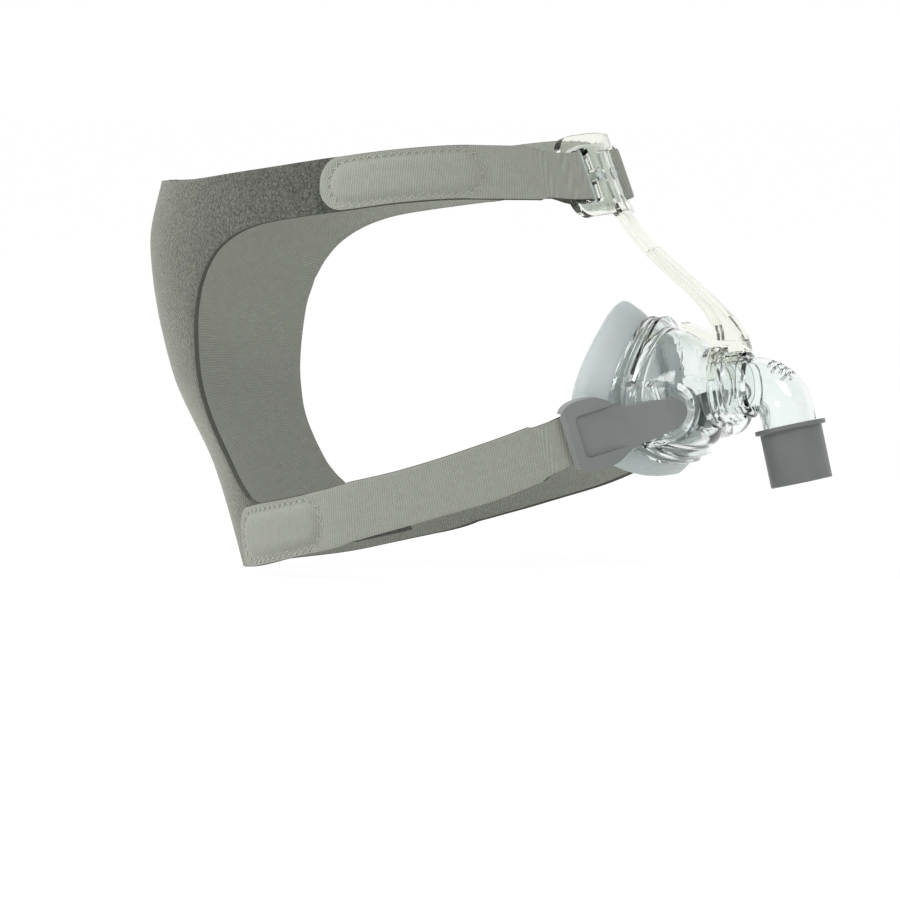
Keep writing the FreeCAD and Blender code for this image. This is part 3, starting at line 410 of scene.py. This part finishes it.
# Brushed nylon loop: a charcoal pile about half a millimetre deep that catches light at a
# glancing angle. Its tufts are drawn at 0.9 mm, coarser than the real ones, so that they show.
loop_pile, tree, output = new_material("brushed_nylon_loop")
where = add_node(tree, "ShaderNodeTexCoord")
tufts = add_node(tree, "ShaderNodeTexNoise", {
    "Vector": where.outputs["Object"], "Scale": 1100.0, "Detail": 3.0, "Roughness": 0.65})
patches = add_node(tree, "ShaderNodeTexNoise", {
    "Vector": where.outputs["Object"], "Scale": 90.0, "Detail": 2.0})
tone = add_node(tree, "ShaderNodeValToRGB", {"Fac": tufts.outputs["Fac"]})
tone.color_ramp.elements[0].position = 0.32
tone.color_ramp.elements[0].color = linear("#2e302c")
tone.color_ramp.elements[1].position = 0.68
tone.color_ramp.elements[1].color = linear("#6c6e66")
shade = add_node(tree, "ShaderNodeMapRange", {
    "Value": patches.outputs["Fac"], "To Min": 0.85, "To Max": 1.12})
colour = add_node(tree, "ShaderNodeMixRGB", {
    "Fac": 1.0, "Color1": tone.outputs["Color"], "Color2": shade.outputs["Result"]},
    blend_type="MULTIPLY")
bump = add_node(tree, "ShaderNodeBump", {
    "Height": tufts.outputs["Fac"], "Strength": 0.9, "Distance": 0.0006})
surface = add_node(tree, "ShaderNodeBsdfPrincipled", {
    "Base Color": colour.outputs["Color"], "Normal": bump.outputs["Normal"], "Roughness": 0.95,
    "Specular IOR Level": 0.2, "Sheen Weight": 1.0, "Sheen Roughness": 0.42,
    "Sheen Tint": linear("#eeeee2")})
tree.links.new(surface.outputs[0], output.inputs["Surface"])

# Warp-knit lining: pale warm grey, with a fine rib across the strap and a finer slant over it.
# The rib is drawn 0.9 mm apart, the width at which it begins to show.
knit, tree, output = new_material("warp_knit_lining")
cloth_map = add_node(tree, "ShaderNodeUVMap", uv_map="cloth")
slant = add_node(tree, "ShaderNodeMapping", {
    "Vector": cloth_map.outputs["UV"], "Rotation": (0, 0, math.radians(8))})
ribs = add_node(tree, "ShaderNodeTexWave", {
    "Vector": slant.outputs["Vector"], "Scale": 35.0}, wave_type="BANDS")
cross = add_node(tree, "ShaderNodeMapping", {
    "Vector": cloth_map.outputs["UV"], "Rotation": (0, 0, math.radians(-48))})
stitches = add_node(tree, "ShaderNodeTexWave", {
    "Vector": cross.outputs["Vector"], "Scale": 48.0}, wave_type="BANDS")
height = add_node(tree, "ShaderNodeMath", {
    0: ribs.outputs["Fac"], 1: stitches.outputs["Fac"]}, operation="ADD")
where = add_node(tree, "ShaderNodeTexCoord")
mottle = add_node(tree, "ShaderNodeTexNoise", {
    "Vector": where.outputs["Object"], "Scale": 420.0, "Detail": 3.0})
mixed = add_node(tree, "ShaderNodeMath", {
    0: height.outputs[0], 1: mottle.outputs["Fac"]}, operation="ADD")
spread = add_node(tree, "ShaderNodeMapRange", {
    "Value": mixed.outputs[0], "From Min": 0.3, "From Max": 2.4})
tone = add_node(tree, "ShaderNodeValToRGB", {"Fac": spread.outputs["Result"]})
tone.color_ramp.elements[0].color = linear("#83857d")
tone.color_ramp.elements[1].color = linear("#a3a59b")
bump = add_node(tree, "ShaderNodeBump", {
    "Height": height.outputs[0], "Strength": 0.35, "Distance": 0.0003})
surface = add_node(tree, "ShaderNodeBsdfPrincipled", {
    "Base Color": tone.outputs["Color"], "Normal": bump.outputs["Normal"], "Roughness": 0.85,
    "Specular IOR Level": 0.3, "Sheen Weight": 0.35, "Sheen Roughness": 0.4,
    "Sheen Tint": linear("#f0f0e8")})
tree.links.new(surface.outputs[0], output.inputs["Surface"])

# Cut foam edge: dark grey polyurethane foam between the two cloths, matt and open-celled
foam_edge, tree, output = new_material("cut_foam_edge")
where = add_node(tree, "ShaderNodeTexCoord")
cells = add_node(tree, "ShaderNodeTexNoise", {
    "Vector": where.outputs["Object"], "Scale": 1800.0, "Detail": 2.0})
tone = add_node(tree, "ShaderNodeValToRGB", {"Fac": cells.outputs["Fac"]})
tone.color_ramp.elements[0].color = linear("#3a3b38")
tone.color_ramp.elements[1].color = linear("#65665f")
surface = add_node(tree, "ShaderNodeBsdfPrincipled", {
    "Base Color": tone.outputs["Color"], "Roughness": 0.95, "Specular IOR Level": 0.2})
tree.links.new(surface.outputs[0], output.inputs["Surface"])

for finish in (loop_pile, knit, foam_edge):
    headgear.data.materials.append(finish)
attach(headgear, "mask")
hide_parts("headgear")


# Oval stitching: a zigzag of thick polyester thread round each puffed oval, which holds the
# hook tab to the inside of the strap's end.
thread_radius = 0.2
zigzag_pitch = 1.4
# Radius of the dark beads whose colour is painted shade for the needle holes
shade_bead_radius = 0.34


def oval_walk(oval, beside):
    """Return places along a sewn oval's outline, moved out by an alternating distance."""
    rows, tip, start, length, half_width, corner = oval
    flat = length / 2 - corner
    rise_flat = half_width - corner
    round_length = corner * math.pi / 2
    total = 4 * flat + 4 * rise_flat + 4 * round_length
    count = 2 * round(total / zigzag_pitch / 2)
    walk = []
    for number in range(count):
        left = total * number / count
        out = beside[number % 2]
        legs = (
            (2 * flat, (-flat, -rise_flat - corner), (1, 0)),
            (round_length, (flat, -rise_flat), -90),
            (2 * rise_flat, (flat + corner, -rise_flat), (0, 1)),
            (round_length, (flat, rise_flat), 0),
            (2 * flat, (flat, rise_flat + corner), (-1, 0)),
            (round_length, (-flat, rise_flat), 90),
            (2 * rise_flat, (-flat - corner, rise_flat), (0, -1)),
            (round_length, (-flat, -rise_flat), 180))
        for leg, base, heading in legs:
            if left <= leg:
                break
            left -= leg
        if isinstance(heading, tuple):
            along = base[0] + heading[0] * left + heading[1] * out
            across = base[1] + heading[1] * left - heading[0] * out
        else:
            angle = math.radians(heading) + left / corner
            along = base[0] + (corner + out) * math.cos(angle)
            across = base[1] + (corner + out) * math.sin(angle)
        walk.append((start + length / 2 + along, across))
    return walk


hole_shade_beads = bmesh.new()
thread = bpy.data.curves.new("thread", "CURVE")
thread.dimensions = "3D"
thread.bevel_depth = thread_radius * MM
thread.bevel_resolution = 2
for oval in (top_oval, lower_oval):
    for hand in (1, -1):
        run = thread.splines.new("POLY")
        walk = oval_walk(oval, (0.15, 1.75))
        run.points.add(len(walk) - 1)
        for point, (place, across) in zip(run.points, walk):
            half = 9.6
            if place < oval[1]:
                half += -oval[1] + math.sqrt(max(0, oval[1] ** 2 - (oval[1] - place) ** 2))
            share = 0.5 + max(-0.49, min(0.49, across / (2 * half)))
            spot = end_point(oval, max(0.3, place), share, fabric / 2 + 0.06)
            point.co = (spot.x * MM, spot.y * MM * hand, spot.z * MM, 1)
            # A dark bead at each stitch, coloured with painted shade where its needle hole dips
            spot = end_point(oval, max(0.3, place), share, fabric / 2 - 0.12)
            bmesh.ops.create_icosphere(
                hole_shade_beads, subdivisions=1, radius=shade_bead_radius * MM,
                matrix=Matrix.Translation((spot.x * MM, spot.y * MM * hand, spot.z * MM)))
        run.use_cyclic_u = True
drawn = bpy.data.objects.new("thread_line", thread)
bpy.context.collection.objects.link(drawn)
stitching = bpy.data.objects.new(
    "oval_stitching", bpy.data.meshes.new_from_object(drawn))
bpy.data.objects.remove(drawn)
bpy.context.collection.objects.link(stitching)
stitching.data.shade_smooth()

polyester, tree, output = new_material("polyester_thread")
where = add_node(tree, "ShaderNodeTexCoord")
ply = add_node(tree, "ShaderNodeTexNoise", {
    "Vector": where.outputs["Object"], "Scale": 2500.0, "Detail": 1.0})
tone = add_node(tree, "ShaderNodeValToRGB", {"Fac": ply.outputs["Fac"]})
tone.color_ramp.elements[0].color = linear("#9c9e93")
tone.color_ramp.elements[1].color = linear("#c4c6ba")
surface = add_node(tree, "ShaderNodeBsdfPrincipled", {
    "Base Color": tone.outputs["Color"], "Roughness": 0.6, "Sheen Weight": 0.3})
tree.links.new(surface.outputs[0], output.inputs["Surface"])
stitching.data.materials.append(polyester)
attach(stitching, "mask")

# Needle holes: a small dark bead at each stitch. Its dark grey is painted shade standing in for
# the dimple that each stitch pulls into the foam
painted_hole_shades = bpy.data.objects.new("painted_hole_shades", bpy.data.meshes.new("painted_hole_shades"))
hole_shade_beads.to_mesh(painted_hole_shades.data)
hole_shade_beads.free()
bpy.context.collection.objects.link(painted_hole_shades)
painted_hole_shade, tree, output = new_material("painted_needle_hole_shade")
where = add_node(tree, "ShaderNodeTexCoord")
cells = add_node(tree, "ShaderNodeTexNoise", {
    "Vector": where.outputs["Object"], "Scale": 1800.0, "Detail": 2.0})
# Painted shade: the bead's dark grey stands for the shadow inside the needle hole
tone = add_node(tree, "ShaderNodeValToRGB", {"Fac": cells.outputs["Fac"]})
tone.color_ramp.elements[0].color = linear("#4f514b")
tone.color_ramp.elements[1].color = linear("#6a6c64")
surface = add_node(tree, "ShaderNodeBsdfPrincipled", {
    "Base Color": tone.outputs["Color"], "Roughness": 0.95, "Specular IOR Level": 0.1})
tree.links.new(surface.outputs[0], output.inputs["Surface"])
painted_hole_shades.data.materials.append(painted_hole_shade)
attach(painted_hole_shades, "mask")


# Hook tabs: moulded nylon hook tape, sewn between the layers where only its edge shows.
hook_tape, tree, output = new_material("moulded_hook_tape")
where = add_node(tree, "ShaderNodeTexCoord")
hooks = add_node(tree, "ShaderNodeTexVoronoi", {
    "Vector": where.outputs["Object"], "Scale": 900.0})
tone = add_node(tree, "ShaderNodeValToRGB", {"Fac": hooks.outputs["Distance"]})
tone.color_ramp.elements[0].color = linear("#5a5b57")
tone.color_ramp.elements[1].color = linear("#33342f")
bump = add_node(tree, "ShaderNodeBump", {
    "Height": hooks.outputs["Distance"], "Strength": 0.8, "Distance": 0.0003})
surface = add_node(tree, "ShaderNodeBsdfPrincipled", {
    "Base Color": tone.outputs["Color"], "Normal": bump.outputs["Normal"], "Roughness": 0.6})
tree.links.new(surface.outputs[0], output.inputs["Surface"])
for name in ("right_top_tab", "left_top_tab", "right_lower_tab", "left_lower_tab"):
    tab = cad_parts[name]
    tab.data.materials.clear()
    tab.data.materials.append(hook_tape)


# Clear mouldings: the shell, its retaining ring, the elbow and the forehead arm are injection
# moulded in polycarbonate and left polished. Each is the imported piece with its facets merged,
# smooth sides, and the small radii that a mould leaves on its corners.
def moulded(node, body, finish, corner, sharp=34):
    """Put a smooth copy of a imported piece, with rounded corners, in that piece's place."""
    skin = bmesh.new()
    skin.from_mesh(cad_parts[node].data)
    bmesh.ops.remove_doubles(skin, verts=skin.verts, dist=3e-6)
    for face in skin.faces:
        face.smooth = True
    for edge in skin.edges:
        edge.smooth = len(edge.link_faces) == 2 and edge.calc_face_angle() < math.radians(sharp)
    piece = bpy.data.objects.new(node + "_moulding", bpy.data.meshes.new(node + "_moulding"))
    skin.to_mesh(piece.data)
    skin.free()
    for layer in [item for item in piece.data.attributes if item.name == "custom_normal"]:
        piece.data.attributes.remove(layer)
    bpy.context.collection.objects.link(piece)
    piece.data.materials.clear()
    piece.data.materials.append(finish)
    if corner:
        radius = piece.modifiers.new("mould_radius", "BEVEL")
        radius.limit_method = "ANGLE"
        radius.angle_limit = math.radians(sharp)
        radius.width = corner * MM
        radius.segments = 2
        radius.use_clamp_overlap = True
        shading = piece.modifiers.new("even_shading", "WEIGHTED_NORMAL")
        shading.keep_sharp = True
    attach(piece, body)
    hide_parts(node)
    return piece


def clear_plastic(name, tint, roughness):
    """Make polished clear polycarbonate: nearly colourless, with the flow of the mould in it."""
    made, tree, output = new_material(name)
    where = add_node(tree, "ShaderNodeTexCoord")
    flow = add_node(tree, "ShaderNodeTexNoise", {
        "Vector": where.outputs["Object"], "Scale": 70.0, "Detail": 1.0})
    bump = add_node(tree, "ShaderNodeBump", {
        "Height": flow.outputs["Fac"], "Strength": 0.12, "Distance": 0.001})
    surface = add_node(tree, "ShaderNodeBsdfPrincipled", {
        "Base Color": linear(tint), "Roughness": roughness, "IOR": 1.5,
        "Transmission Weight": 1.0, "Normal": bump.outputs["Normal"]})
    tree.links.new(surface.outputs[0], output.inputs["Surface"])
    return made


shell_plastic = clear_plastic("polished_polycarbonate", "#f6faf9", 0.03)
arm_plastic = clear_plastic("tinted_polycarbonate", "#f4f6ec", 0.04)
moulded("mask_frame", "mask", shell_plastic, 0.25)
moulded("cushion_ring", "mask", shell_plastic, 0.25)
moulded("forehead_arm", "mask", arm_plastic, 0.25)
moulded("elbow", "elbow", shell_plastic, 0.2)


# Cushion and forehead pad: moulded in translucent liquid silicone rubber, satin from the
# mould's blasted steel, so that light comes through it milky and faintly blue.
silicone, tree, output = new_material("translucent_silicone")
where = add_node(tree, "ShaderNodeTexCoord")
grain = add_node(tree, "ShaderNodeTexNoise", {
    "Vector": where.outputs["Object"], "Scale": 900.0, "Detail": 2.0})
bump = add_node(tree, "ShaderNodeBump", {
    "Height": grain.outputs["Fac"], "Strength": 0.12, "Distance": 0.0003})
surface = add_node(tree, "ShaderNodeBsdfPrincipled", {
    "Base Color": linear("#e0e9e8"), "Roughness": 0.38, "IOR": 1.41,
    "Transmission Weight": 0.4, "Subsurface Weight": 0.6, "Subsurface Scale": 0.004,
    "Subsurface Radius": (1.0, 1.0, 1.0), "Normal": bump.outputs["Normal"]})
tree.links.new(surface.outputs[0], output.inputs["Surface"])
moulded("nasal_cushion", "mask", silicone, 0.3)
moulded("forehead_pad", "mask", silicone, 0)


# Grey plastics: the swivel cuff and the two clips are moulded in opaque polypropylene with a
# satin skin.
def satin_plastic(name, dark, pale, roughness):
    """Make satin polypropylene: a fine spark-eroded grain over an even grey."""
    made, tree, output = new_material(name)
    where = add_node(tree, "ShaderNodeTexCoord")
    grain = add_node(tree, "ShaderNodeTexNoise", {
        "Vector": where.outputs["Object"], "Scale": 2200.0, "Detail": 2.0})
    drift = add_node(tree, "ShaderNodeTexNoise", {
        "Vector": where.outputs["Object"], "Scale": 60.0, "Detail": 2.0})
    tone = add_node(tree, "ShaderNodeValToRGB", {"Fac": drift.outputs["Fac"]})
    tone.color_ramp.elements[0].position = 0.3
    tone.color_ramp.elements[0].color = linear(dark)
    tone.color_ramp.elements[1].position = 0.7
    tone.color_ramp.elements[1].color = linear(pale)
    worn = add_node(tree, "ShaderNodeMapRange", {
        "Value": drift.outputs["Fac"], "To Min": roughness - 0.05, "To Max": roughness + 0.07})
    bump = add_node(tree, "ShaderNodeBump", {
        "Height": grain.outputs["Fac"], "Strength": 0.16, "Distance": 0.0002})
    surface = add_node(tree, "ShaderNodeBsdfPrincipled", {
        "Base Color": tone.outputs["Color"], "Roughness": worn.outputs["Result"],
        "IOR": 1.49, "Normal": bump.outputs["Normal"]})
    tree.links.new(surface.outputs[0], output.inputs["Surface"])
    return made


cuff_plastic = satin_plastic("grey_polypropylene_cuff", "#686b6a", "#6f7271", 0.4)
clip_plastic = satin_plastic("grey_polypropylene_clip", "#727574", "#7a7d7c", 0.38)
moulded("swivel_cuff", "cuff", cuff_plastic, 0.25)
moulded("right_clip", "right_clip", clip_plastic, 0.5)
moulded("left_clip", "left_clip", clip_plastic, 0.5)
